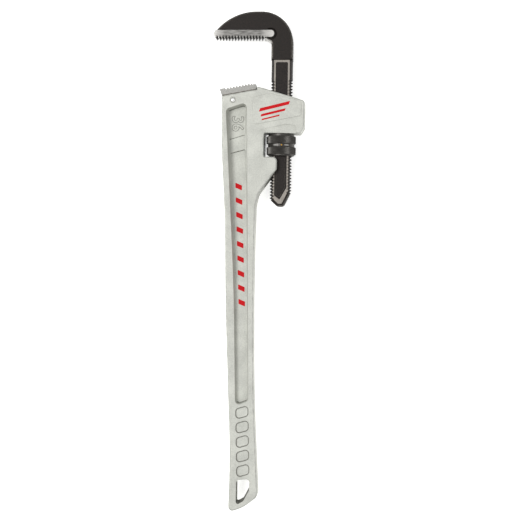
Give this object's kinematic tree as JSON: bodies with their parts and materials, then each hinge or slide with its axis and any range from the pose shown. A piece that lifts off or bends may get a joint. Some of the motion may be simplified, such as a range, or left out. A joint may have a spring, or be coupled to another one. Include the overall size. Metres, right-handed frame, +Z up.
{
  "type": "pipe wrench",
  "caption": "Adjustable straight pipe wrench: cast handle, toothed hook jaw on a threaded shank, knurled nut, toothed heel jaw and springs; grips and turns pipe.",
  "frame": {"origin": "centre of the base of the bounding box, with the wrench lying flat", "axes": "+Y along the handle towards the jaws, +X from the jaw tips to the back of the hook, +Z up through the thickness"},
  "size_m": [0.1676, 0.909, 0.0548],
  "materials": {
    "cast_aluminium": "cast and bead blasted, satin",
    "black_forged_steel": "black phosphate on forged steel, machined edges bright",
    "black_turned_steel": "black oxide on turned and knurled steel",
    "grey_jaw_steel": "ground",
    "bright_steel": "bright turned",
    "spring_steel": "polished strip and wire"
  },
  "bodies": {
    "handle": {"handle": "cast_aluminium", "heel_jaw": "grey_jaw_steel", "heel_jaw_pin": "bright_steel", "coil_spring": "spring_steel", "spring_screw": "bright_steel"},
    "spring": {"flat_spring": "spring_steel"},
    "hook": {"hook_jaw": "black_forged_steel"},
    "nut": {"adjusting_nut": "black_turned_steel"}
  },
  "joints": [
    {"name": "jaw_rock", "type": "hinge", "parent": "handle", "child": "spring", "pos_m": [0.06475, 0.23246, 0.0274], "axis": [0, 0, 1], "range_deg": [0, 2.5], "stiffness_Nm_per_rad": 60, "springref_deg": -4.58, "deforming": ["flat_spring", "coil_spring"]},
    {"name": "nut_spin", "type": "hinge", "parent": "spring", "child": "nut", "pos_m": [0.04125, 0.21106, 0.0274], "axis": [0, 1, 0], "range_deg": [-3535, 5110]},
    {"name": "hook_slide", "type": "slide", "parent": "spring", "child": "hook", "axis": [0, 1, 0], "range_m": [-0.0796, 0.0551]}
  ],
  "couplings": [
    {"joint": "hook_slide", "follows": "nut_spin", "m_per_rad": -0.00089127}
  ]
}
